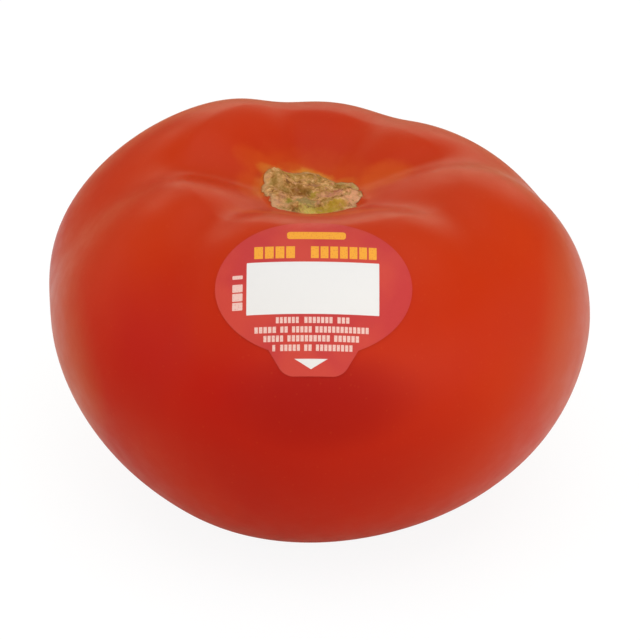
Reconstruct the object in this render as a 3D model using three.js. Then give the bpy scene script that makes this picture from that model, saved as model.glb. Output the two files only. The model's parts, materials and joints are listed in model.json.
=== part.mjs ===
// A whole beefsteak tomato with a paper sticker on its front shoulder, resting on its blossom end.
// Millimetres, +Z up. The sticker is on the -Y side, the stem scar is on top, and the origin is the middle
// of the fruit's outline on the surface it rests on.
import * as THREE from "three";
import { ParametricGeometry } from "three/addons/geometries/ParametricGeometry.js";
import { mergeVertices } from "three/addons/utils/BufferGeometryUtils.js";

const { degToRad, lerp, smoothstep, seededRandom } = THREE.MathUtils;

// Heights are above the resting surface, and radii are from the axis through the stem scar.
const fruit = {
  scarHeight: 53,
  scarFloor: 7.5, // how far the floor of the hollow runs out level from the axis
  hollowShare: 0.7, // how far out towards the crest the wall of the hollow rises
  widestHeight: 33.4,
  baseRadius: 11,
  blossomRadius: 4.5,
  blossomDepth: 1.1,
};

// The swellings round the fruit: where each one points, how far it reaches, how high and how far out its
// shoulder crests, how square its shoulder is and how full its underside is.
const swellings = [
  { azimuth: -108, reach: 43.4, crest: 61, crestRadius: 22, shoulder: 0.53, belly: 0.84 },
  { azimuth: -62, reach: 43.2, crest: 60.6, crestRadius: 21.8, shoulder: 0.52, belly: 0.76 },
  { azimuth: -10, reach: 47.5, crest: 60.2, crestRadius: 26.9, shoulder: 0.52, belly: 0.84 },
  { azimuth: 37, reach: 44.4, crest: 58.9, crestRadius: 19.9, shoulder: 0.47, belly: 0.6 },
  { azimuth: 82, reach: 41.5, crest: 59.3, crestRadius: 19.6, shoulder: 0.47, belly: 0.62 },
  { azimuth: 137, reach: 49.1, crest: 63.2, crestRadius: 20.2, shoulder: 0.47, belly: 0.59 },
  { azimuth: -160, reach: 43.5, crest: 60.4, crestRadius: 21.6, shoulder: 0.45, belly: 0.64 },
];
const swellingSharpness = 5;

// The creases between swellings, which run out of the hollow and die away down the flank.
const creases = [
  { azimuth: -132, depth: 1.7, width: 12 },
  { azimuth: -33, depth: 1.8, width: 12 },
  { azimuth: 13, depth: 1.8, width: 11 },
  { azimuth: 60, depth: 1, width: 12 },
  { azimuth: 102, depth: 0.9, width: 12 },
  { azimuth: 178, depth: 2.8, width: 15 },
];
// Where creases start up the wall of the hollow, their share left at the widest point, and where they end
// on the way down from it.
const creaseRun = { start: 0.2, atWidest: 0.4, end: 0.85 };

// The corky stem scar: pads that run together, the pit where the stalk stood, and crumbs of cork.
const scar = {
  pads: [
    { x: -3.4, y: -0.8, halfWidth: 4.8, halfDepth: 6.4 },
    { x: -5.2, y: 2.0, halfWidth: 2.7, halfDepth: 3.1 },
    { x: -0.2, y: -0.1, halfWidth: 5.2, halfDepth: 6.4 },
    { x: 4.0, y: -2.2, halfWidth: 4.2, halfDepth: 4.6 },
    { x: 5.8, y: -2.9, halfWidth: 2.6, halfDepth: 3.8 },
  ],
  rise: 1.5,
  edgeShare: 0.4, // how far in from its edge the cork reaches its full rise
  pit: { x: -2.5, y: -0.2, halfWidth: 2.7, halfDepth: 1.8, depth: 1.2 },
  crumbs: { count: 34, radius: 1.2, rise: 0.6, x: 0.1, halfWidth: 8, halfDepth: 6.5, seed: 11 },
};
const blossomScar = { radius: 1.7, rise: 0.5 };

// The sticker, an oval with a pull tab below it, by its sizes across its own face.
const sticker = {
  halfWidth: 15.3,
  halfHeight: 11.3,
  tabTop: 7.4, // half width of the tab where it leaves the oval
  tabFoot: 4.8, // half width of the tab at its lower edge, before the corners are rounded
  tabFlare: 0.9, // how much wider the tab is again where the rounding of its corners starts
  tabReach: 14.3, // from the middle of the oval down to the lower edge
  tabCorner: 1.5,
  turn: -1.5, // how far it is stuck on askew, anticlockwise as it is read
  middle: { x: 0.4, y: -31.2, z: 55.7 }, // the oval's middle, before it is pressed onto the skin
  azimuth: -89,
  elevation: 48,
  gap: 0.3,
  thickness: 0.4,
};

const spokes = 72;
const ringsPerStretch = [23, 9, 12, 2, 4]; // hollow, shoulder, flank, flat spot, blossom end
const rings = ringsPerStretch.reduce((sum, count) => sum + count);
const stickerSpokes = 52;
const stickerRings = 9;

// A property of the swellings at an azimuth, blended smoothly from one swelling to the next.
function swollen(property, azimuth) {
  let total = 0;
  let weights = 0;
  for (const swelling of swellings) {
    const turn = azimuth - degToRad(swelling.azimuth);
    const weight = Math.exp(swellingSharpness * (Math.cos(turn) - 1));
    total += weight * swelling[property];
    weights += weight;
  }
  return total / weights;
}

function creaseDepth(azimuth) {
  let depth = 0;
  for (const crease of creases) {
    const turn = azimuth - degToRad(crease.azimuth);
    const wrapped = Math.atan2(Math.sin(turn), Math.cos(turn));
    depth += crease.depth * Math.exp(-((wrapped / degToRad(crease.width)) ** 2));
  }
  return depth;
}

// How much of a crease's depth is left at a place t along a stretch of the outline.
function creaseShare(stretch, t) {
  const { start, atWidest, end } = creaseRun;
  if (stretch === 0) return smoothstep(t, start, 1);
  if (stretch === 1) return lerp(1, atWidest, smoothstep(t, 0, 1));
  if (stretch === 2) return atWidest * (1 - smoothstep(t, 0, end));
  return 0;
}

// The outline in the half plane at an azimuth, as radius and height, from the stem scar to the blossom end.
// The handles on the two sides of the crest and of the widest point are matched, so that the curvature runs
// on through both.
function outlineAt(azimuth) {
  const { scarHeight, scarFloor, hollowShare, widestHeight } = fruit;
  const { baseRadius, blossomRadius, blossomDepth } = fruit;
  const reach = swollen("reach", azimuth);
  const crest = swollen("crest", azimuth);
  const crestRadius = swollen("crestRadius", azimuth);
  const widestRise = swollen("shoulder", azimuth) * (crest - widestHeight);
  const crestRun =
    crestRadius * (1 - hollowShare) *
    Math.sqrt((crest - widestHeight - widestRise) / (crest - scarHeight));
  const bellyRadius = lerp(baseRadius, reach, swollen("belly", azimuth));
  const widestDrop =
    widestRise * Math.sqrt((reach - bellyRadius) / (reach - crestRadius - crestRun));

  const outline = new THREE.Path().moveTo(0, scarHeight);
  outline.bezierCurveTo(
    scarFloor, scarHeight, hollowShare * crestRadius, crest, crestRadius, crest,
  );
  outline.bezierCurveTo(
    crestRadius + crestRun, crest, reach, widestHeight + widestRise, reach, widestHeight,
  );
  outline.bezierCurveTo(
    reach, widestHeight - widestDrop, bellyRadius, 0, baseRadius, 0,
  );
  outline.lineTo(blossomRadius, 0);
  outline.bezierCurveTo(
    blossomRadius / 2, 0, blossomRadius / 2, blossomDepth, 0, blossomDepth,
  );
  return outline;
}

// How far inside an oval a point is: 1 at its middle, 0 on its edge, less than 0 outside.
function insideOval(x, y, oval) {
  return 1 - ((x - oval.x) / oval.halfWidth) ** 2 - ((y - oval.y) / oval.halfDepth) ** 2;
}

// Crumbs of cork in a sunflower's pattern over the scar, pushed about a little, every third one a dent.
function placeCrumbs() {
  const { count, rise, x, halfWidth, halfDepth, seed } = scar.crumbs;
  const goldenAngle = Math.PI * (3 - Math.sqrt(5));
  seededRandom(seed);
  const wander = () => seededRandom() - 0.5;
  return Array.from({ length: count }, (_, i) => {
    const out = Math.sqrt((i + 0.5) / count);
    return {
      x: x + halfWidth * out * Math.cos(i * goldenAngle) + wander(),
      y: halfDepth * out * Math.sin(i * goldenAngle) + wander(),
      rise: rise * (i % 3 === 2 ? -1 : 1) * (1 + wander()),
    };
  });
}
const crumbs = placeCrumbs();

// Height of the cork above the floor of the hollow.
function scarRelief(x, y) {
  const cover = Math.max(...scar.pads.map((pad) => insideOval(x, y, pad)));
  if (cover <= 0) return 0;
  let relief = scar.rise - scar.pit.depth * smoothstep(insideOval(x, y, scar.pit), 0, 1);
  for (const crumb of crumbs) {
    const away = ((x - crumb.x) ** 2 + (y - crumb.y) ** 2) / scar.crumbs.radius ** 2;
    relief += crumb.rise * Math.exp(-away);
  }
  return relief * smoothstep(cover, 0, scar.edgeShare);
}

// A point of the skin: u goes once round the fruit clockwise, v runs from the stem scar to the blossom end.
function skinPoint(u, v, target) {
  const azimuth = -2 * Math.PI * u;
  let stretch = 0;
  let ring = v * rings;
  while (stretch < ringsPerStretch.length - 1 && ring > ringsPerStretch[stretch]) {
    ring -= ringsPerStretch[stretch];
    stretch += 1;
  }
  const t = Math.min(ring / ringsPerStretch[stretch], 1);
  const curve = outlineAt(azimuth).curves[stretch];
  const { x: radius, y: height } = curve.getPoint(t);
  const along = curve.getTangent(t);
  const sunk = creaseDepth(azimuth) * creaseShare(stretch, t);
  const out = radius + along.y * sunk;
  const x = out * Math.cos(azimuth);
  const y = out * Math.sin(azimuth);
  let z = height - along.x * sunk;
  if (stretch === 0) z += scarRelief(x, y);
  if (stretch === 4) z -= blossomScar.rise * (1 - smoothstep(radius, 0, blossomScar.radius));
  target.set(x, y, z);
}

// One closed surface: coincident vertices merged, and the triangles that collapsed at the poles dropped.
function closed(geometry) {
  geometry.deleteAttribute("normal");
  geometry.deleteAttribute("uv");
  const merged = mergeVertices(geometry, 1e-4);
  const kept = [];
  for (let i = 0; i < merged.index.count; i += 3) {
    const [a, b, c] = [0, 1, 2].map((corner) => merged.index.getX(i + corner));
    if (a !== b && b !== c && c !== a) kept.push(a, b, c);
  }
  merged.setIndex(kept);
  merged.computeVertexNormals();
  return merged;
}

function makeFruit() {
  const skin = new THREE.MeshStandardMaterial({ color: 0xb82e18, roughness: 0.34, metalness: 0 });
  const mesh = new THREE.Mesh(closed(new ParametricGeometry(skinPoint, spokes, rings)), skin);
  mesh.name = "tomato";
  return mesh;
}

// The sticker's outline on its own face, across and up, anticlockwise from its right-hand end.
function stickerOutline() {
  const { halfWidth, halfHeight, tabTop, tabFoot, tabFlare, tabReach, tabCorner } = sticker;
  const tabTurn = Math.asin(tabTop / halfWidth); // from the oval's lowest point round to the tab
  const outline = new THREE.Shape();
  outline.absellipse(0, 0, halfWidth, halfHeight, 0, 1.5 * Math.PI - tabTurn);
  outline.lineTo(-tabFoot - tabFlare, -tabReach + tabCorner);
  outline.quadraticCurveTo(-tabFoot, -tabReach, -tabFoot + tabCorner, -tabReach);
  outline.lineTo(tabFoot - tabCorner, -tabReach);
  outline.quadraticCurveTo(tabFoot, -tabReach, tabFoot + tabFlare, -tabReach + tabCorner);
  outline.absellipse(0, 0, halfWidth, halfHeight, 1.5 * Math.PI + tabTurn, 2 * Math.PI);
  return outline.getSpacedPoints(stickerSpokes);
}

// The sticker, pressed straight back from its own face onto the skin of the fruit.
function makeSticker(fruitMesh) {
  const outline = stickerOutline();
  const { middle, gap, thickness } = sticker;
  const azimuth = degToRad(sticker.azimuth);
  const elevation = degToRad(sticker.elevation);
  const facing = new THREE.Vector3(
    Math.cos(elevation) * Math.cos(azimuth),
    Math.cos(elevation) * Math.sin(azimuth),
    Math.sin(elevation),
  );
  const across = new THREE.Vector3(0, 0, 1).cross(facing).normalize();
  across.applyAxisAngle(facing, degToRad(sticker.turn));
  const up = new THREE.Vector3().crossVectors(facing, across);
  const heldOff = 50;
  const held = new THREE.Vector3(middle.x, middle.y, middle.z).addScaledVector(facing, heldOff);
  const ray = new THREE.Raycaster();
  const pressed = (x, y, lift) => {
    const start = held.clone().addScaledVector(across, x).addScaledVector(up, y);
    ray.set(start, facing.clone().negate());
    return ray.intersectObject(fruitMesh)[0].point.addScaledVector(facing, lift);
  };
  // v runs from the middle of the underside out to the rim, and back over the top to the middle.
  const lastRing = 2 * stickerRings + 1;
  const face = (u, v, target) => {
    const rim = outline[Math.round(u * stickerSpokes) % stickerSpokes];
    const ring = Math.round(v * lastRing);
    const onTop = ring > stickerRings;
    const out = (onTop ? lastRing - ring : ring) / stickerRings;
    target.copy(pressed(rim.x * out, rim.y * out, onTop ? gap + thickness : gap));
  };
  const paper = new THREE.MeshStandardMaterial({ color: 0xd4443c, roughness: 0.45, metalness: 0 });
  const mesh = new THREE.Mesh(
    closed(new ParametricGeometry(face, stickerSpokes, lastRing)),
    paper,
  );
  mesh.name = "sticker";
  return mesh;
}

const part = new THREE.Group();
const tomato = makeFruit();
part.add(tomato, makeSticker(tomato));

// Both pieces move together so that the outline's middle stands over the origin.
const middle = new THREE.Box3().setFromObject(part).getCenter(new THREE.Vector3());
for (const piece of part.children) piece.position.set(-middle.x, -middle.y, 0);

export default part;
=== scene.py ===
import json
import math
import bpy
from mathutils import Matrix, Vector

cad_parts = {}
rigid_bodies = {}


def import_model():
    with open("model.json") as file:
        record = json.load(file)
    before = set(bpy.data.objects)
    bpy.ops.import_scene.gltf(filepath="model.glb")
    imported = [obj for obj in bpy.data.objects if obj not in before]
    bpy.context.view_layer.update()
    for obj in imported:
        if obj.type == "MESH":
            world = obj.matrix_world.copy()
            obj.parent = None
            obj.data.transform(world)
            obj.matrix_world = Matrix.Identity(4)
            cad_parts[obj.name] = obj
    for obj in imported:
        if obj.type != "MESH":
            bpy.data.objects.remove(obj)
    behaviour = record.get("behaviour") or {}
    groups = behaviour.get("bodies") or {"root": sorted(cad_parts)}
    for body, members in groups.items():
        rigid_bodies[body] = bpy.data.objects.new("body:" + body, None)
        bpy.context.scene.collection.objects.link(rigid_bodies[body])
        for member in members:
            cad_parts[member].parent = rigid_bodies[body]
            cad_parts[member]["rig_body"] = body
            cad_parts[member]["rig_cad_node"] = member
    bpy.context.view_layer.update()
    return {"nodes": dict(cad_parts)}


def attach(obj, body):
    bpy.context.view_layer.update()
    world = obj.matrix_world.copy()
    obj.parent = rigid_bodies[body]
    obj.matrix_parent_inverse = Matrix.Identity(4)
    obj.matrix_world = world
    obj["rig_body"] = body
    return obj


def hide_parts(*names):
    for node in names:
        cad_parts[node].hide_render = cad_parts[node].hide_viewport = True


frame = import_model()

# Sizes are in metres, in the same frame as the solids: +Z up, sticker towards -Y.


def selectNothing():
    if bpy.context.mode != "OBJECT":
        bpy.ops.object.mode_set(mode="OBJECT")
    bpy.ops.object.select_all(action="DESELECT")


def workOn(piece):
    selectNothing()
    piece.select_set(True)
    bpy.context.view_layer.objects.active = piece


def applyModifiers(piece):
    workOn(piece)
    for modifier in list(piece.modifiers):
        bpy.ops.object.modifier_apply(modifier=modifier.name)


# the camera, at the photo's viewing angle
cameraSettings = {
    "aim": (0.0005, 0.0, 0.03018),
    "distance": 0.55,
    "height": 32,  # degrees above level
    "lens": 185,
    "sensor": 36,
    "nearest": 0.01,
}


def makeCamera(settings):
    selectNothing()
    height = math.radians(settings["height"])
    back = Vector((0, -math.cos(height), math.sin(height)))
    place = Vector(settings["aim"]) + back * settings["distance"]
    bpy.ops.object.camera_add(location=place, rotation=(math.pi / 2 - height, 0, 0))
    camera = bpy.context.object
    camera.name = "photoCamera"
    camera.data.lens = settings["lens"]
    camera.data.sensor_width = settings["sensor"]
    camera.data.clip_start = settings["nearest"]
    bpy.context.scene.camera = camera


makeCamera(cameraSettings)
print("camera ready")

# the fruit: the solid's own shape, rounded, with cork grown over the stem scar
fruitSettings = {
    "levels": 2,
    "mergeWithin": 1e-6,
    "stemAxis": (-0.00087, 0.00019),
    "scarHeight": 0.054,
    "corkAbove": 0.05,
    "corkEdge": 0.35,  # the cork has its full relief this far inside a pad, 1 being its middle
    # ovals that the cork covers, from the stem axis: x, y, half width, half depth
    "corkPads": [(-0.0034, -0.0008, 0.0048, 0.0064), (-0.0052, 0.0020, 0.0027, 0.0031),
                 (-0.0002, -0.0001, 0.0052, 0.0064), (0.0040, -0.0022, 0.0042, 0.0046),
                 (0.0056, -0.0029, 0.0025, 0.0038), (0.0046, 0.0012, 0.0032, 0.0029),
                 (0.0004, -0.0058, 0.0073, 0.0021)],
    "crumbsSize": 0.0009,
    "crumbsHeight": 0.0006,
    "grainSize": 0.00040,
    "grainHeight": 0.00024,
    "reliefLevel": 0.35,  # what is darker than this in a texture sinks in, and the rest stands out
}


def padCover(x, y, pads):
    # 1 in the middle of a pad, 0 on its edge, less outside
    return max(
        1 - ((x - middleX) / halfWidth) ** 2 - ((y - middleY) / halfDepth) ** 2
        for middleX, middleY, halfWidth, halfDepth in pads
    )


def roughen(piece, settings, name, kind, group):
    texture = bpy.data.textures.new(name, kind)
    texture.noise_scale = settings[name + "Size"]
    push = piece.modifiers.new(name, "DISPLACE")
    push.texture = texture
    push.texture_coords = "LOCAL"
    push.strength = settings[name + "Height"]
    push.mid_level = settings["reliefLevel"]
    push.vertex_group = group
    return texture


def makeFruit(settings):
    workOn(frame["nodes"]["tomato"])
    bpy.ops.object.duplicate()
    fruit = bpy.context.object
    fruit.name = "beefsteakTomato"
    for key in ("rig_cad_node", "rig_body"):  # the copy is a new piece
        if key in fruit:
            del fruit[key]
    fruit.parent = None
    bpy.ops.object.mode_set(mode="EDIT")
    bpy.ops.mesh.select_all(action="SELECT")
    bpy.ops.mesh.remove_doubles(threshold=settings["mergeWithin"])
    bpy.ops.mesh.tris_convert_to_quads(face_threshold=math.pi, shape_threshold=math.pi)
    bpy.ops.object.mode_set(mode="OBJECT")
    rounding = fruit.modifiers.new("rounding", "SUBSURF")
    rounding.levels = rounding.render_levels = settings["levels"]
    applyModifiers(fruit)

    cork = fruit.vertex_groups.new(name="cork")
    axisX, axisY = settings["stemAxis"]
    for vertex in fruit.data.vertices:
        x, y, z = vertex.co
        if z > settings["corkAbove"]:
            cover = padCover(x - axisX, y - axisY, settings["corkPads"])
            if cover > 0:
                cork.add([vertex.index], min(cover / settings["corkEdge"], 1), "REPLACE")
    crumbs = roughen(fruit, settings, "crumbs", "VORONOI", "cork")
    crumbs.weight_1 = -1  # the second distance less the first leaves cracks between the crumbs
    crumbs.weight_2 = 1
    roughen(fruit, settings, "grain", "CLOUDS", "cork")
    applyModifiers(fruit)
    bpy.ops.object.shade_smooth()
    return fruit


fruit = makeFruit(fruitSettings)
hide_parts("tomato")
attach(fruit, "root")
print("fruit ready:", len(fruit.data.polygons), "faces")

# the sticker: an oval with a pull tab, cut flat and pressed straight back onto the skin
stickerSettings = {
    "halfWidth": 0.0153,
    "halfHeight": 0.0113,
    "rimPoints": 120,
    "tabTop": 0.0074,  # half the tab's width where it leaves the oval
    "tabFoot": 0.0048,
    "tabReach": 0.0140,
    "tabCorner": 0.0014,
    "tabRoot": -0.0099,  # the height where the tab leaves the oval
    "tabFillet": 0.0008,
    "cornerSteps": 6,
    "straightWithin": 1,  # degrees; points on a straighter edge are taken out
    "middle": (-0.00047, -0.03101, 0.0557),
    "facing": (48, 1),  # degrees above level, and round towards the right
    "roll": -1.0,
    "held": 0.03,  # how far off the skin it starts
    "weave": 0.0007,
    "mergeWithin": 2e-5,
    "lift": 0.00004,
    "thickness": 0.00012,
    "sharpFrom": 40,  # degrees
    "sheet": 0.034,  # side of the square that the printing is laid out on
}


def roundCorners(sheet, height, radius, steps):
    # rounds the two outermost points that stand nearest a given height
    bpy.ops.mesh.select_all(action="DESELECT")
    bpy.ops.object.mode_set(mode="OBJECT")
    nearest = min(abs(v.co.y - height) for v in sheet.data.vertices)
    near = [v for v in sheet.data.vertices if abs(v.co.y - height) <= nearest + 1e-5]
    for corner in (min(near, key=lambda v: v.co.x), max(near, key=lambda v: v.co.x)):
        corner.select = True
    bpy.ops.object.mode_set(mode="EDIT")
    bpy.ops.mesh.select_mode(type="VERT")
    bpy.ops.mesh.bevel(offset=radius, segments=steps, affect="VERTICES", clamp_overlap=False)


def cutSheet(settings):
    selectNothing()
    bpy.ops.mesh.primitive_circle_add(
        vertices=settings["rimPoints"], radius=1, fill_type="NGON", calc_uvs=False)
    sheet = bpy.context.object
    sheet.name = "paperSticker"
    bpy.ops.object.mode_set(mode="EDIT")
    bpy.ops.transform.resize(value=(settings["halfWidth"], settings["halfHeight"], 1))
    bpy.ops.mesh.select_all(action="DESELECT")
    bpy.ops.object.mode_set(mode="OBJECT")

    # the tab grows out of the lowest edges, which are flattened onto its foot
    vertices = sheet.data.vertices
    for edge in sheet.data.edges:
        ends = [vertices[i].co for i in edge.vertices]
        edge.select = all(abs(end.x) < settings["tabTop"] and end.y < 0 for end in ends)
    bpy.ops.object.mode_set(mode="EDIT")
    bpy.ops.mesh.select_mode(type="EDGE")
    bpy.ops.mesh.extrude_region_move(TRANSFORM_OT_translate={"value": (0, -0.001, 0)})
    foot = (0, -settings["tabReach"], 0)
    narrowing = settings["tabFoot"] / settings["tabTop"]
    bpy.ops.transform.resize(value=(narrowing, 0, 1), center_override=foot)
    bpy.ops.mesh.select_all(action="SELECT")
    bpy.ops.mesh.dissolve_limited(angle_limit=math.radians(settings["straightWithin"]))
    roundCorners(sheet, -settings["tabReach"], settings["tabCorner"], settings["cornerSteps"])
    roundCorners(sheet, settings["tabRoot"], settings["tabFillet"], settings["cornerSteps"])

    # fine cuts both ways let the paper bend
    for normal, reach in (((1, 0, 0), settings["halfWidth"]), ((0, 1, 0), settings["tabReach"])):
        steps = int(reach / settings["weave"])
        for i in range(-steps, steps + 1):
            bpy.ops.mesh.select_all(action="SELECT")
            place = Vector(normal) * i * settings["weave"]
            bpy.ops.mesh.bisect(plane_co=place, plane_no=normal)
    bpy.ops.mesh.select_all(action="SELECT")
    bpy.ops.mesh.remove_doubles(threshold=settings["mergeWithin"])
    bpy.ops.object.mode_set(mode="OBJECT")

    printing = sheet.data.uv_layers.new(name="printing")
    for loop in sheet.data.loops:
        place = sheet.data.vertices[loop.vertex_index].co / settings["sheet"]
        printing.data[loop.index].uv = (place.x + 0.5, place.y + 0.5)
    return sheet


def makeSticker(settings, skin):
    sticker = cutSheet(settings)
    sticker.rotation_euler = (0, 0, math.radians(settings["roll"]))
    bpy.ops.object.transform_apply(location=False, rotation=True, scale=False)
    height, turn = (math.radians(angle) for angle in settings["facing"])
    facing = Vector((
        math.cos(height) * math.sin(turn), -math.cos(height) * math.cos(turn), math.sin(height)
    ))
    sticker.rotation_euler = (math.pi / 2 - height, 0, turn)
    sticker.location = Vector(settings["middle"]) + facing * settings["held"]
    press = sticker.modifiers.new("press", "SHRINKWRAP")
    press.target = skin
    press.wrap_method = "PROJECT"
    press.use_project_z = True
    press.use_positive_direction = False
    press.use_negative_direction = True
    press.offset = settings["lift"]
    paper = sticker.modifiers.new("paper", "SOLIDIFY")
    paper.thickness = settings["thickness"]
    paper.offset = 1
    applyModifiers(sticker)
    bpy.ops.object.transform_apply(location=True, rotation=True, scale=True)
    bpy.ops.object.shade_smooth_by_angle(angle=math.radians(settings["sharpFrom"]))
    return sticker


sticker = makeSticker(stickerSettings, fruit)
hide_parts("sticker")
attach(sticker, "root")
print("sticker ready:", len(sticker.data.polygons), "faces")


# short ways to lay out shader nodes
def feed(tree, socket, source):
    if isinstance(source, bpy.types.NodeSocket):
        tree.links.new(source, socket)
    else:
        socket.default_value = source


def calculate(tree, operation, first, second=0.0):
    node = tree.nodes.new("ShaderNodeMath")
    node.operation = operation
    feed(tree, node.inputs[0], first)
    feed(tree, node.inputs[1], second)
    return node.outputs[0]


def calculateVector(tree, operation, first, second=None, output="Vector"):
    node = tree.nodes.new("ShaderNodeVectorMath")
    node.operation = operation
    feed(tree, node.inputs[0], first)
    if second is not None:
        feed(tree, node.inputs[1], second)
    return node.outputs[output]


def spread(tree, value, low, high, to=(0.0, 1.0)):
    # a soft step from the first of two values at low to the second at high
    node = tree.nodes.new("ShaderNodeMapRange")
    node.interpolation_type = "SMOOTHSTEP"
    feed(tree, node.inputs["Value"], value)
    node.inputs["From Min"].default_value = low
    node.inputs["From Max"].default_value = high
    node.inputs["To Min"].default_value, node.inputs["To Max"].default_value = to
    return node.outputs["Result"]


def blendColours(tree, share, first, second):
    node = tree.nodes.new("ShaderNodeMix")
    node.data_type = "RGBA"
    feed(tree, node.inputs["Factor"], share)
    feed(tree, node.inputs["A"], first)
    feed(tree, node.inputs["B"], second)
    return node.outputs["Result"]


def noise(tree, vector, scale, detail=3.0, roughness=0.5, distortion=0.0):
    node = tree.nodes.new("ShaderNodeTexNoise")
    feed(tree, node.inputs["Vector"], vector)
    feed(tree, node.inputs["Scale"], scale)
    node.inputs["Detail"].default_value = detail
    node.inputs["Roughness"].default_value = roughness
    node.inputs["Distortion"].default_value = distortion
    return node.outputs["Fac"]


def about(tree, value, middle, factor):
    # how far a value lies from its middle, times a factor
    return calculate(tree, "MULTIPLY", calculate(tree, "SUBTRACT", value, middle), factor)


def stretch(tree, vector, scale):
    node = tree.nodes.new("ShaderNodeMapping")
    feed(tree, node.inputs["Vector"], vector)
    node.inputs["Scale"].default_value = scale
    return node.outputs["Vector"]


def splitUp(tree, vector):
    node = tree.nodes.new("ShaderNodeSeparateXYZ")
    feed(tree, node.inputs["Vector"], vector)
    return node.outputs


def newGroup(name, inputs, outputs):
    group = bpy.data.node_groups.new(name, "ShaderNodeTree")
    for socketName, kind in inputs:
        group.interface.new_socket(socketName, in_out="INPUT", socket_type=kind)
    for socketName, kind in outputs:
        group.interface.new_socket(socketName, in_out="OUTPUT", socket_type=kind)
    return group, group.nodes.new("NodeGroupInput"), group.nodes.new("NodeGroupOutput")


def useGroup(tree, group, **values):
    node = tree.nodes.new("ShaderNodeGroup")
    node.node_tree = group
    for name, value in values.items():
        feed(tree, node.inputs[name], value)
    return node.outputs[0]


def makeOvalPatch():
    # 1 in the middle of an oval body, 0 on its surface, less outside
    group, given, result = newGroup(
        "ovalPatch",
        [("Vector", "NodeSocketVector"), ("Middle", "NodeSocketVector"), ("Half", "NodeSocketVector")],
        [("Inside", "NodeSocketFloat")],
    )
    away = calculateVector(group, "SUBTRACT", given.outputs["Vector"], given.outputs["Middle"])
    scaled = calculateVector(group, "DIVIDE", away, given.outputs["Half"])
    squared = calculateVector(group, "DOT_PRODUCT", scaled, scaled, "Value")
    feed(group, result.inputs["Inside"], calculate(group, "SUBTRACT", 1.0, squared))
    return group


def makeFineGrain():
    # two sizes of grain as one height, for the skin and the paper
    group, given, result = newGroup(
        "fineGrain",
        [("Vector", "NodeSocketVector"), ("Scale", "NodeSocketFloat"), ("Second", "NodeSocketFloat")],
        [("Height", "NodeSocketFloat")],
    )
    finer = 5.0  # how much finer the second grain is
    broad = noise(group, given.outputs["Vector"], given.outputs["Scale"], 2)
    fineScale = calculate(group, "MULTIPLY", given.outputs["Scale"], finer)
    fine = noise(group, given.outputs["Vector"], fineScale, 3)
    share = calculate(group, "MULTIPLY", fine, given.outputs["Second"])
    feed(group, result.inputs["Height"], calculate(group, "ADD", broad, share))
    return group


def makePrintedBar():
    # a printed bar in millimetres on the sticker's face, cut into blocks of one pitch
    group, given, result = newGroup(
        "printedBar",
        [("Vector", "NodeSocketVector"), ("Middle", "NodeSocketVector"), ("Half", "NodeSocketVector"),
         ("Corner", "NodeSocketFloat"), ("Pitch", "NodeSocketFloat"), ("Gap", "NodeSocketFloat")],
        [("Ink", "NodeSocketFloat")],
    )
    barEdge = 0.04  # half the softness of an edge
    gapEdge = 0.03
    offset = calculateVector(group, "SUBTRACT", given.outputs["Vector"], given.outputs["Middle"])
    corner = calculateVector(group, "MULTIPLY", (1.0, 1.0, 0.0), given.outputs["Corner"])
    straight = calculateVector(group, "SUBTRACT", given.outputs["Half"], corner)
    past = calculateVector(group, "SUBTRACT", calculateVector(group, "ABSOLUTE", offset), straight)
    past = calculateVector(group, "MAXIMUM", past, (0.0, 0.0, 0.0))
    far = calculateVector(group, "LENGTH", past, None, "Value")
    bar = spread(group, calculate(group, "SUBTRACT", far, given.outputs["Corner"]), barEdge, -barEdge)

    along = splitUp(group, calculateVector(group, "ADD", offset, given.outputs["Half"]))["X"]
    halfPitch = calculate(group, "MULTIPLY", given.outputs["Pitch"], 0.5)
    halfGap = calculate(group, "MULTIPLY", given.outputs["Gap"], 0.5)
    tooth = calculate(group, "SUBTRACT", calculate(group, "PINGPONG", along, halfPitch), halfGap)
    blocks = spread(group, tooth, -gapEdge, gapEdge)
    feed(group, result.inputs["Ink"], calculate(group, "MULTIPLY", bar, blocks))
    return group


ovalPatch = makeOvalPatch()
fineGrain = makeFineGrain()
printedBar = makePrintedBar()


def newMaterial(name):
    material = bpy.data.materials.new(name)
    material.use_nodes = True
    tree = material.node_tree
    shader = tree.nodes["Principled BSDF"]
    coordinates = tree.nodes.new("ShaderNodeTexCoord")
    return material, tree, shader, coordinates


def bumpOnto(tree, shader, height, distance):
    bump = tree.nodes.new("ShaderNodeBump")
    bump.inputs["Strength"].default_value = 1.0
    bump.inputs["Distance"].default_value = distance
    feed(tree, bump.inputs["Height"], height)
    tree.links.new(bump.outputs["Normal"], shader.inputs["Normal"])


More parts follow.
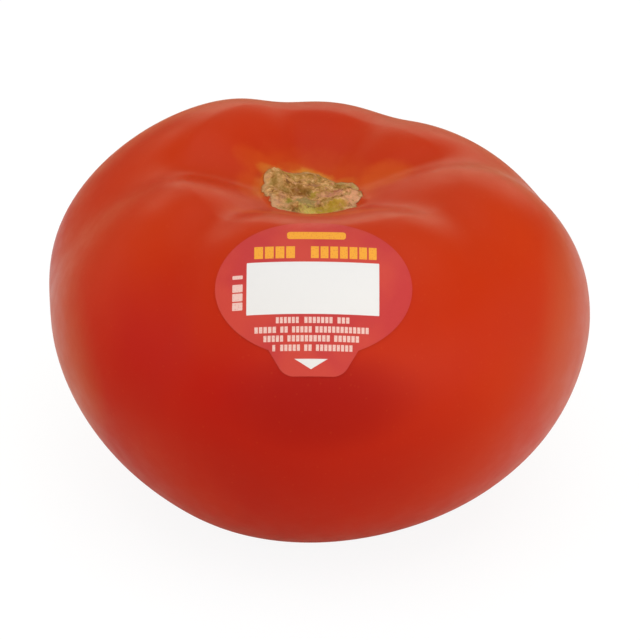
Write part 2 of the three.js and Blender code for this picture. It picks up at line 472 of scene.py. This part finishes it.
skinSettings = {
    "deepRed": (0.42, 0.006, 0.0012, 1),
    "red": (0.46, 0.012, 0.0018, 1),
    "orangeRed": (0.47, 0.030, 0.002, 1),
    "shoulderOrange": (0.49, 0.034, 0.003, 1),
    "haloOrange": (0.58, 0.085, 0.006, 1),
    "haloYellow": (0.60, 0.22, 0.022, 1),
    "speck": (0.56, 0.09, 0.02, 1),
    "speckShare": 0.12,
    "roughness": 0.36,
    "corkRoughness": 0.8,
    "specular": 0.18,  # waxy, less than glass
    "subsurface": 0.08,
    "subsurfaceReach": (0.004, 0.0008, 0.0003),
    "relief": 0.0006,
    "skinRelief": 0.05,  # the skin's share of it
    "cloudScale": 26,
    "stripeScale": 210,
    "stripeStretch": (1, 1, 0.16),  # long from stem to blossom end
    "stripeShare": 0.22,
    "speckScale": 620,
    "fleckScale": 330,
    "fringeScale": 170,
    "grainScale": 300.0,
    # from where to where a colour comes in, in metres
    "rightSide": (0.0, 0.045),
    "shoulders": (0.034, 0.062),
    "shoulderDrift": 0.03,
    "topAbove": (0.045, 0.048),
    "behindScar": (-0.004, 0.001),
    # ovals from the stem axis: x, y, half width, half depth
    "halo": (0.0, 0.0005, 0.0135, 0.0125),
    # and with a share
    "orangeStreaks": [(-0.0094, 0.0052, 0.0038, 0.0024, 0.30), (0.0122, 0.0028, 0.0052, 0.0038, 0.55),
                      (-0.0095, -0.0010, 0.0030, 0.0050, 0.3), (0.0010, -0.0120, 0.0150, 0.0026, 0.45)],
    "yellowGlows": [(-0.0070, 0.0044, 0.0024, 0.0014, 0.45), (0.0086, -0.0008, 0.0018, 0.0030, 0.04),
                    (-0.0084, -0.0006, 0.0016, 0.0036, 0.2), (0.0052, 0.0036, 0.0026, 0.0016, 0.25),
                    (-0.0020, 0.0064, 0.0034, 0.0016, 0.15)],
    # painted shade: the skin darker red below the sticker: middle, half widths, share
    "shadeBelowSticker": [((0.001, -0.043, 0.0405), (0.0120, 0.03, 0.0062), 0.75),
                  ((0.002, -0.043, 0.0310), (0.0190, 0.03, 0.0120), 0.35)],
    "shadedRed": (0.33, 0.003, 0.0008, 1),
    # paler, more orange skin on the two sides, partly its own colour and partly painted sheen: colour,
    # middle, half widths
    "paleSidesAndSheen": [((0.47, 0.064, 0.019, 1), (0.0425, -0.008, 0.0360), (0.0085, 0.030, 0.019)),
                  ((0.47, 0.070, 0.018, 1), (-0.0410, -0.010, 0.0270), (0.0085, 0.030, 0.018))],
    "blossomScar": (-0.0009, 0.0002, 0.0),
    "blossomHalf": (0.0019, 0.0016, 0.006),
    "blossomDry": (0.34, 0.19, 0.075, 1),
    "blossomRing": (0.40, 0.05, 0.006, 1),
    "blossomScale": 800,
}

corkSettings = {
    "ramp": [(0.32, (0.13, 0.045, 0.008)), (0.43, (0.36, 0.155, 0.038)), (0.50, (0.52, 0.265, 0.080)),
             (0.58, (0.70, 0.390, 0.150)), (0.70, (0.86, 0.600, 0.330))],
    "olive": (0.27, 0.190, 0.035, 1),
    "rose": (0.62, 0.300, 0.190, 1),
    "pale": (0.68, 0.46, 0.24, 1),
    "crumbScale": 900,
    "blotchScale": 620,
    "brokenScale": 1500,
    "broken": 4.0,  # how far the patches' edges are torn
    "torn": 0.9,  # and the cork's own edge
    "patches": [
        # colour, share, then an oval from the stem axis: x, y, half width, half depth
        ((0.24, 0.095, 0.018, 1), 0.70, (-0.0041, -0.0010, 0.0011, 0.0015)),
        ((0.30, 0.120, 0.018, 1), 0.65, (-0.0016, 0.0010, 0.0020, 0.0010)),
        ((0.30, 0.120, 0.050, 1), 0.60, (0.0004, 0.0022, 0.0009, 0.0009)),
        ((0.36, 0.190, 0.045, 1), 0.55, (-0.0055, 0.0008, 0.0010, 0.0030)),
        ((0.31, 0.250, 0.090, 1), 0.75, (-0.0012, -0.0044, 0.0024, 0.0014)),
        ((0.28, 0.260, 0.020, 1), 0.70, (-0.0036, -0.0040, 0.0008, 0.0010)),
        ((0.50, 0.340, 0.040, 1), 0.75, (0.0003, -0.0008, 0.0012, 0.0010)),
        ((0.70, 0.540, 0.130, 1), 0.85, (-0.0003, -0.0064, 0.0019, 0.0012)),
        ((0.50, 0.330, 0.025, 1), 0.80, (0.0030, -0.0060, 0.0032, 0.0012)),
        ((0.66, 0.270, 0.180, 1), 0.60, (0.0026, -0.0012, 0.0024, 0.0012)),
        ((0.40, 0.090, 0.060, 1), 0.65, (0.0042, 0.0004, 0.0010, 0.0010)),
        ((0.88, 0.420, 0.250, 1), 0.70, (0.0066, -0.0036, 0.0018, 0.0028)),
        ((0.76, 0.400, 0.210, 1), 0.60, (-0.0056, -0.0056, 0.0024, 0.0018)),
        ((0.74, 0.420, 0.170, 1), 0.55, (-0.0074, 0.0004, 0.0009, 0.0034)),
        ((0.40, 0.215, 0.035, 1), 0.60, (-0.0030, 0.0048, 0.0044, 0.0018)),
        ((0.40, 0.290, 0.050, 1), 0.55, (0.0058, 0.0020, 0.0024, 0.0012)),
    ],
}


def scarOval(tree, vector, x, y, halfWidth, halfDepth):
    # an oval seen from above, placed from the stem axis
    axisX, axisY = fruitSettings["stemAxis"]
    middle = (axisX + x, axisY + y, fruitSettings["scarHeight"])
    return useGroup(tree, ovalPatch, Vector=vector, Middle=middle, Half=(halfWidth, halfDepth, 1.0))


def paintFlesh(tree, settings, place, split):
    # red, deeper and more orange in broad clouds, with faint stripes from stem to blossom end; painted
    # shade below the sticker, and paler sides that are partly painted sheen
    clouds = noise(tree, place, settings["cloudScale"], 2, 0.5, 0.4)
    long = stretch(tree, place, settings["stripeStretch"])
    stripes = calculate(
        tree, "MULTIPLY", noise(tree, long, settings["stripeScale"], 3, 0.55), settings["stripeShare"])
    mottling = calculate(tree, "ADD", clouds, stripes)
    colour = blendColours(tree, spread(tree, mottling, 0.42, 0.80), settings["deepRed"], settings["red"])
    rightSide = spread(tree, split["X"], *settings["rightSide"], (0, 0.8))
    colour = blendColours(tree, rightSide, colour, settings["orangeRed"])
    height = calculate(tree, "ADD", split["Z"], about(tree, clouds, 0.5, settings["shoulderDrift"]))
    shoulders = spread(tree, height, *settings["shoulders"], (0, 0.85))
    colour = blendColours(tree, shoulders, colour, settings["shoulderOrange"])

    # painted shade: the skin is darker red below the sticker
    for middle, half, share in settings["shadeBelowSticker"]:
        below = useGroup(tree, ovalPatch, Vector=place, Middle=middle, Half=half)
        below = spread(tree, below, -1.2, 1.0, (0, share))
        colour = blendColours(tree, below, colour, settings["shadedRed"])
    # the sides paler and more orange, partly the skin's own colour and partly painted sheen
    for tint, middle, half in settings["paleSidesAndSheen"]:
        side = useGroup(tree, ovalPatch, Vector=place, Middle=middle, Half=half)
        side = calculate(tree, "ADD", side, calculate(tree, "SUBTRACT", mottling, 0.6))
        colour = blendColours(tree, spread(tree, side, -0.4, 1.2), colour, tint)
    return colour


def paintBlossomScar(tree, settings, place, colour):
    # the dry scar underneath, with a brownish ring round it
    scar = useGroup(
        tree, ovalPatch, Vector=place, Middle=settings["blossomScar"], Half=settings["blossomHalf"])
    ragged = about(tree, noise(tree, place, settings["blossomScale"], 4, 0.65), 0.5, 2.2)
    scar = calculate(tree, "ADD", scar, ragged)
    colour = blendColours(tree, spread(tree, scar, -4.0, 0.2, (0, 0.6)), colour, settings["blossomRing"])
    return blendColours(tree, spread(tree, scar, -0.1, 0.5), colour, settings["blossomDry"])


def paintSpecks(tree, settings, place, colour):
    # minute pale specks
    specks = tree.nodes.new("ShaderNodeTexVoronoi")
    feed(tree, specks.inputs["Vector"], place)
    specks.inputs["Scale"].default_value = settings["speckScale"]
    share = spread(tree, specks.outputs["Distance"], 0.16, 0.05, (0, settings["speckShare"]))
    return blendColours(tree, share, colour, settings["speck"])


def paintHalo(tree, settings, place, colour, onTop, flecks, uneven):
    # an orange halo and streaks round the scar
    halo = scarOval(tree, place, *settings["halo"])
    halo = calculate(tree, "ADD", halo, calculate(tree, "MULTIPLY", flecks, 0.5))
    halo = calculate(tree, "MULTIPLY", spread(tree, halo, 0.3, 1.3, (0, 0.55)), onTop)
    colour = blendColours(tree, halo, colour, settings["haloOrange"])
    for tint, ovals in (("haloOrange", settings["orangeStreaks"]), ("haloYellow", settings["yellowGlows"])):
        for *oval, share in ovals:
            streak = calculate(tree, "ADD", scarOval(tree, place, *oval), uneven)
            streak = calculate(tree, "MULTIPLY", spread(tree, streak, -0.3, 0.9, (0, share)), onTop)
            colour = blendColours(tree, streak, colour, settings[tint])
    return colour


def corkOutline(tree, place, tearing):
    # how far inside the cork's torn outline a point lies
    cover = None
    for pad in fruitSettings["corkPads"]:
        inside = scarOval(tree, place, *pad)
        cover = inside if cover is None else calculate(tree, "MAXIMUM", cover, inside)
    return calculate(tree, "ADD", cover, tearing)


def paintYellowEdge(tree, settings, place, split, colour, onTop, outline):
    # yellow where the cork starts, fainter in front
    fringe = spread(tree, noise(tree, place, settings["fringeScale"], 2), 0.44, 0.62)
    behind = spread(tree, split["Y"], *settings["behindScar"], (0.1, 1.0))
    share = calculate(tree, "MULTIPLY", spread(tree, outline, -0.45, 0.05), onTop)
    share = calculate(tree, "MULTIPLY", share, calculate(tree, "MULTIPLY", fringe, behind))
    return blendColours(tree, share, colour, settings["haloYellow"])


def paintCork(tree, settings, place, outline, crumbs):
    # tan crumbs with brown cracks, in blotches of olive and rose
    ramp = tree.nodes.new("ShaderNodeValToRGB")
    feed(tree, ramp.inputs["Fac"], crumbs)
    for i, (at, shade) in enumerate(settings["ramp"]):
        stop = ramp.color_ramp.elements[i] if i < 2 else ramp.color_ramp.elements.new(at)
        stop.position = at
        stop.color = (*shade, 1)
    colour = ramp.outputs["Color"]
    blotches = noise(tree, place, settings["blotchScale"], 3, 0.6)
    colour = blendColours(tree, spread(tree, blotches, 0.50, 0.36, (0, 0.6)), colour, settings["olive"])
    colour = blendColours(tree, spread(tree, blotches, 0.52, 0.66, (0, 0.5)), colour, settings["rose"])
    broken = about(tree, noise(tree, place, settings["brokenScale"], 3, 0.6), 0.5, settings["broken"])
    for tint, share, oval in settings["patches"]:
        inside = calculate(tree, "ADD", scarOval(tree, place, *oval), broken)
        colour = blendColours(tree, spread(tree, inside, -0.4, 1.0, (0, share)), colour, tint)
    rim = spread(tree, outline, 0.42, 0.12, (0, 0.35))
    return blendColours(tree, rim, colour, settings["pale"])


def makeSkin(settings, corkSettings):
    material, tree, shader, coordinates = newMaterial("tomatoSkin")
    place = coordinates.outputs["Object"]
    split = splitUp(tree, place)
    onTop = spread(tree, split["Z"], *settings["topAbove"])
    flecks = noise(tree, place, settings["fleckScale"], 3, 0.6)
    uneven = calculate(tree, "SUBTRACT", flecks, 0.5)
    outline = corkOutline(tree, place, calculate(tree, "MULTIPLY", uneven, corkSettings["torn"]))
    crumbs = noise(tree, place, corkSettings["crumbScale"], 6, 0.68, 0.4)

    colour = paintFlesh(tree, settings, place, split)
    colour = paintBlossomScar(tree, settings, place, colour)
    colour = paintSpecks(tree, settings, place, colour)
    colour = paintHalo(tree, settings, place, colour, onTop, flecks, uneven)
    colour = paintYellowEdge(tree, settings, place, split, colour, onTop, outline)
    cork = paintCork(tree, corkSettings, place, outline, crumbs)
    corkShare = calculate(tree, "MULTIPLY", spread(tree, outline, 0.0, 0.12), onTop)
    tree.links.new(blendColours(tree, corkShare, colour, cork), shader.inputs["Base Color"])

    grain = useGroup(tree, fineGrain, Vector=place, Scale=settings["grainScale"], Second=0.25)
    smooth, dull = settings["roughness"] - 0.04, settings["roughness"] + 0.05
    both = tree.nodes.new("ShaderNodeMix")
    feed(tree, both.inputs["Factor"], corkShare)
    feed(tree, both.inputs["A"], spread(tree, grain, 0.3, 0.9, (smooth, dull)))
    both.inputs["B"].default_value = settings["corkRoughness"]
    tree.links.new(both.outputs["Result"], shader.inputs["Roughness"])

    skinHeight = calculate(tree, "MULTIPLY", grain, settings["skinRelief"])
    corkHeight = calculate(tree, "MULTIPLY", crumbs, corkShare)
    bumpOnto(tree, shader, calculate(tree, "ADD", skinHeight, corkHeight), settings["relief"])
    shader.inputs["Specular IOR Level"].default_value = settings["specular"]
    shader.inputs["Subsurface Weight"].default_value = settings["subsurface"]
    shader.inputs["Subsurface Radius"].default_value = settings["subsurfaceReach"]
    shader.inputs["Subsurface Scale"].default_value = 1.0
    return material


stickerPrint = {
    "ground": (0.55, 0.052, 0.035, 1),
    "crimson": (0.50, 0.036, 0.035, 1),
    "yellow": (0.81, 0.35, 0.028, 1),
    "white": (0.725, 0.72, 0.715, 1),
    "palePink": (0.76, 0.50, 0.45, 1),
    "roughness": 0.45,
    "specular": 0.3,
    "relief": 0.00003,
    # patterns on the face, by the millimetre
    "cloudScale": 0.10,
    "wornScale": 4.0,
    "fibreScale": 1.2,
}

# printed rows in millimetres from the oval's middle: height, half height, then both ends of each bar
printedRows = {
    "top": {"pitch": 60.0, "gap": 0.0, "corner": 0.5, "ink": "yellow", "rows": [
        (8.6, 0.7, [(-4.2, 5.0)])]},
    "heading": {"pitch": 1.5, "gap": 0.28, "corner": 0.25, "ink": "yellow", "rows": [
        (5.5, 1.05, [(-9.4, -2.8), (-0.6, 9.9)])]},
    "small": {"pitch": 0.66, "gap": 0.17, "corner": 0.12, "ink": "palePink", "rows": [
        (-5.6, 0.47, [(-5.9, -2.2), (-1.5, 3.0), (3.6, 5.6)]),
        (-7.05, 0.47, [(-9.2, -5.7), (-5.2, -3.9), (-3.4, -0.2), (0.2, 8.6)]),
        (-8.4, 0.47, [(-7.8, -4.6), (-4.1, 2.6), (3.1, 7.1)]),
        (-9.8, 0.47, [(-6.4, -5.8), (-5.2, -2.0), (-1.5, -0.2), (0.3, 6.1)])]},
    "sideways": {"pitch": 3.0, "gap": 0.0, "corner": 0.12, "ink": "palePink", "rows": [
        (-3.2, 0.62, [(-12.6, -11.0)]), (-1.75, 0.62, [(-12.6, -11.0)]), (-0.3, 0.62, [(-12.6, -11.0)]),
        (1.5, 0.3, [(-12.6, -11.0)])]},
    "panel": {"pitch": 60.0, "gap": 0.0, "corner": 0.12, "ink": "white", "rows": [
        (-0.42, 4.24, [(-10.4, 10.15)])]},
}
tabArrow = {"x": -0.35, "y": -12.2, "halfWidth": 2.55, "halfHeight": 0.75, "edge": 0.05}


def printRow(tree, face, row):
    ink = None
    for y, halfHeight, bars in row["rows"]:
        for left, right in bars:
            blocks = max(1, round((right - left) / row["pitch"]))
            bar = useGroup(
                tree, printedBar, Vector=face, Middle=((left + right) / 2, y, 0.0),
                Half=((right - left) / 2, halfHeight, 0.0), Corner=row["corner"],
                Pitch=(right - left) / blocks, Gap=row["gap"],
            )
            ink = bar if ink is None else calculate(tree, "MAXIMUM", ink, bar)
    return ink


def printArrow(tree, face, settings):
    # points down to the end of the tab
    middle = (settings["x"], settings["y"], 0.0)
    split = splitUp(tree, calculateVector(tree, "SUBTRACT", face, middle))
    across = calculate(tree, "ABSOLUTE", split["X"])
    slant = settings["halfWidth"] / (2 * settings["halfHeight"])
    reach = calculate(tree, "MULTIPLY", calculate(tree, "ADD", split["Y"], settings["halfHeight"]), slant)
    beside = calculate(tree, "SUBTRACT", across, reach)
    above = calculate(tree, "SUBTRACT", split["Y"], settings["halfHeight"])
    outside = calculate(tree, "MAXIMUM", beside, above)
    return spread(tree, outside, settings["edge"], -settings["edge"])


def makePaper(settings):
    material, tree, shader, coordinates = newMaterial("stickerPaper")
    centred = calculateVector(tree, "SUBTRACT", coordinates.outputs["UV"], (0.5, 0.5, 0.0))
    sheet = stickerSettings["sheet"] * 1000  # in millimetres
    face = calculateVector(tree, "MULTIPLY", centred, (sheet, sheet, 0.0))

    cloud = noise(tree, face, settings["cloudScale"], 2)
    colour = blendColours(tree, spread(tree, cloud, 0.4, 0.62), settings["ground"], settings["crimson"])
    worn = spread(tree, noise(tree, face, settings["wornScale"], 2), 0.25, 0.5, (0.6, 1.0))
    for row in printedRows.values():
        ink = printRow(tree, face, row)
        if row["ink"] != "white":
            ink = calculate(tree, "MULTIPLY", ink, worn)
        colour = blendColours(tree, ink, colour, settings[row["ink"]])
    colour = blendColours(tree, printArrow(tree, face, tabArrow), colour, settings["white"])
    tree.links.new(colour, shader.inputs["Base Color"])

    fibres = useGroup(tree, fineGrain, Vector=face, Scale=settings["fibreScale"], Second=0.4)
    smooth, dull = settings["roughness"] - 0.05, settings["roughness"] + 0.06
    tree.links.new(spread(tree, fibres, 0.4, 1.0, (smooth, dull)), shader.inputs["Roughness"])
    bumpOnto(tree, shader, fibres, settings["relief"])
    shader.inputs["Specular IOR Level"].default_value = settings["specular"]
    return material


fruit.data.materials.clear()
fruit.data.materials.append(makeSkin(skinSettings, corkSettings))
sticker.data.materials.clear()
sticker.data.materials.append(makePaper(stickerPrint))
print("materials ready")

studioSettings = {
    "floorSize": 6,
    "floorRoughness": 0.9,
    "floorSpecular": 0.1,
    "farFloor": (0.72, 0.58, 0.36, 1),
    "nearFloor": (0.5, 0.5, 0.5, 1),
    "seenFloor": (0.14, 0.14, 0.14, 1),
    "farGlow": (0.0, 0.0, 0.0, 1),
    "nearGlow": (0.45, 0.45, 0.43, 1),
    "seenGlow": (0.875, 0.885, 0.885, 1),
    "bounceMiddle": (0.03, 0.07, 0.0),
    "bounceHalf": (0.25, 0.13, 1.0),
    "world": (1.0, 0.97, 0.92, 1),
    "worldStrength": 0.18,
    "aim": (0, 0, 0.03),
    # place, size, power in watts, colour, and whether the skin mirrors it
    "lights": {
        "topBox": ((0.02, -0.02, 0.55), (0.6, 0.6), 1.65, (1, 1, 1), False),
        "frontBox": ((0.0, -0.6, 0.7), (1.4, 1.0), 3.1, (1, 1, 1), False),
        "lowBox": ((0.12, -0.7, 0.2), (1.6, 0.4), 2.1, (1, 1, 1), False),
        "leftBox": ((-0.7, 0.02, 0.22), (1.0, 0.4), 2.2, (1, 1, 1), False),
        "rightBox": ((0.7, -0.25, 0.14), (1.0, 0.4), 3.1, (1, 1, 1), False),
        "backBox": ((0.15, 0.75, 0.30), (0.8, 0.5), 1.7, (1, 0.82, 0.55), True),
        "cornerBox": ((-0.45, 0.65, 0.50), (0.3, 0.3), 0.55, (1, 0.82, 0.55), True),
    },
}


def makeFloor(settings):
    selectNothing()
    bpy.ops.mesh.primitive_plane_add(size=settings["floorSize"], location=(0, 0, 0))
    floor = bpy.context.object
    floor.name = "studioFloor"
    material, tree, shader, coordinates = newMaterial("paleFloor")
    # the camera sees it white, and it throws light back beside and behind the fruit
    oval = useGroup(tree, ovalPatch, Vector=coordinates.outputs["Object"],
                    Middle=settings["bounceMiddle"], Half=settings["bounceHalf"])
    near = spread(tree, oval, 0.3, 0.8)
    seen = tree.nodes.new("ShaderNodeLightPath").outputs["Is Camera Ray"]
    base = blendColours(tree, near, settings["farFloor"], settings["nearFloor"])
    base = blendColours(tree, seen, base, settings["seenFloor"])
    tree.links.new(base, shader.inputs["Base Color"])
    glow = blendColours(tree, near, settings["farGlow"], settings["nearGlow"])
    glow = blendColours(tree, seen, glow, settings["seenGlow"])
    tree.links.new(glow, shader.inputs["Emission Color"])
    shader.inputs["Emission Strength"].default_value = 1
    shader.inputs["Roughness"].default_value = settings["floorRoughness"]
    shader.inputs["Specular IOR Level"].default_value = settings["floorSpecular"]
    floor.data.materials.append(material)


def makeLights(settings):
    for name, (place, size, power, colour, mirrored) in settings["lights"].items():
        bpy.ops.object.light_add(type="AREA", location=place)
        light = bpy.context.object
        light.name = name
        light.data.shape = "RECTANGLE"
        light.data.size, light.data.size_y = size
        light.data.energy = power
        light.data.color = colour
        light.visible_glossy = mirrored
        aim = Vector(settings["aim"]) - Vector(place)
        light.rotation_euler = aim.to_track_quat("-Z", "Y").to_euler()
    world = bpy.data.worlds.new("studioWorld")
    bpy.context.scene.world = world
    world.use_nodes = True
    world.node_tree.nodes["Background"].inputs["Color"].default_value = settings["world"]
    world.node_tree.nodes["Background"].inputs["Strength"].default_value = settings["worldStrength"]
    bpy.context.scene.view_settings.view_transform = "Standard"


makeFloor(studioSettings)
makeLights(studioSettings)
print("studio ready")
